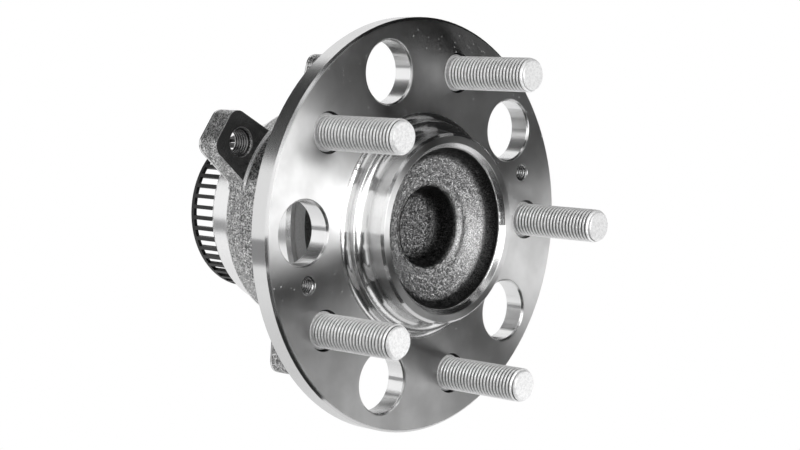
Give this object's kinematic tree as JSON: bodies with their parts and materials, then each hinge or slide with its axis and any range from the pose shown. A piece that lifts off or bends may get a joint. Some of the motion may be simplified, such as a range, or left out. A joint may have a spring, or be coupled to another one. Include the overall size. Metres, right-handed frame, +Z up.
{
  "type": "wheel hub bearing",
  "caption": "Wheel hub on a double-row ball bearing, with a drilled flange and wheel studs, an eared outer ring that bolts to a knuckle, and a slotted tone ring.",
  "frame": {"origin": "centre of the wheel stud circle, where the rotation axis meets the flange's wheel face", "axes": "-Y along the rotation axis, out towards the wheel; +Y in towards the knuckle; first wheel stud on +X; +Z up"},
  "size_m": [0.1474, 0.1254, 0.1474],
  "materials": {
    "machined_steel": "turned steel",
    "bearing_steel": "ground and polished bearing steel",
    "forged_steel": "forged steel with machined faces",
    "stud_steel": "bright zinc coating",
    "cage_plastic": "glass-filled nylon",
    "seal_rubber": "matte nitrile rubber",
    "sheet_steel": "pressed sheet steel",
    "tone_ring_black": "black phosphate coating"
  },
  "bodies": {
    "outer_ring": {"outer_ring": "forged_steel", "outboard_seal_case": "sheet_steel", "outboard_seal_lip": "seal_rubber", "inboard_seal_case": "sheet_steel", "inboard_seal_lip": "seal_rubber"},
    "hub": {"hub": "machined_steel", "inner_ring": "bearing_steel", "inboard_slinger": "sheet_steel", "tone_ring": "tone_ring_black", "spindle_nut": "sheet_steel", "wheel_stud_1": "stud_steel", "wheel_stud_2": "stud_steel", "wheel_stud_3": "stud_steel", "wheel_stud_4": "stud_steel", "wheel_stud_5": "stud_steel"},
    "outboard_cage": {"outboard_cage": "cage_plastic", "outboard_ball_1": "bearing_steel", "outboard_ball_2": "bearing_steel", "outboard_ball_3": "bearing_steel", "outboard_ball_4": "bearing_steel", "outboard_ball_5": "bearing_steel", "outboard_ball_6": "bearing_steel", "outboard_ball_7": "bearing_steel", "outboard_ball_8": "bearing_steel", "outboard_ball_9": "bearing_steel", "outboard_ball_10": "bearing_steel", "outboard_ball_11": "bearing_steel", "outboard_ball_12": "bearing_steel", "outboard_ball_13": "bearing_steel"},
    "inboard_cage": {"inboard_cage": "cage_plastic", "inboard_ball_1": "bearing_steel", "inboard_ball_2": "bearing_steel", "inboard_ball_3": "bearing_steel", "inboard_ball_4": "bearing_steel", "inboard_ball_5": "bearing_steel", "inboard_ball_6": "bearing_steel", "inboard_ball_7": "bearing_steel", "inboard_ball_8": "bearing_steel", "inboard_ball_9": "bearing_steel", "inboard_ball_10": "bearing_steel", "inboard_ball_11": "bearing_steel"}
  },
  "joints": [
    {"name": "hub_spin", "type": "hinge", "parent": "outer_ring", "child": "hub", "pos_m": [0, 0, 0], "axis": [0, 1, 0], "continuous": true},
    {"name": "outboard_cage_orbit", "type": "hinge", "parent": "outer_ring", "child": "outboard_cage", "pos_m": [0, 0.037, 0], "axis": [0, 1, 0], "continuous": true},
    {"name": "inboard_cage_orbit", "type": "hinge", "parent": "outer_ring", "child": "inboard_cage", "pos_m": [0, 0.057, 0], "axis": [0, 1, 0], "continuous": true}
  ],
  "couplings": [
    {"joint": "outboard_cage_orbit", "follows": "hub_spin", "ratio": 0.416},
    {"joint": "inboard_cage_orbit", "follows": "hub_spin", "ratio": 0.405}
  ]
}
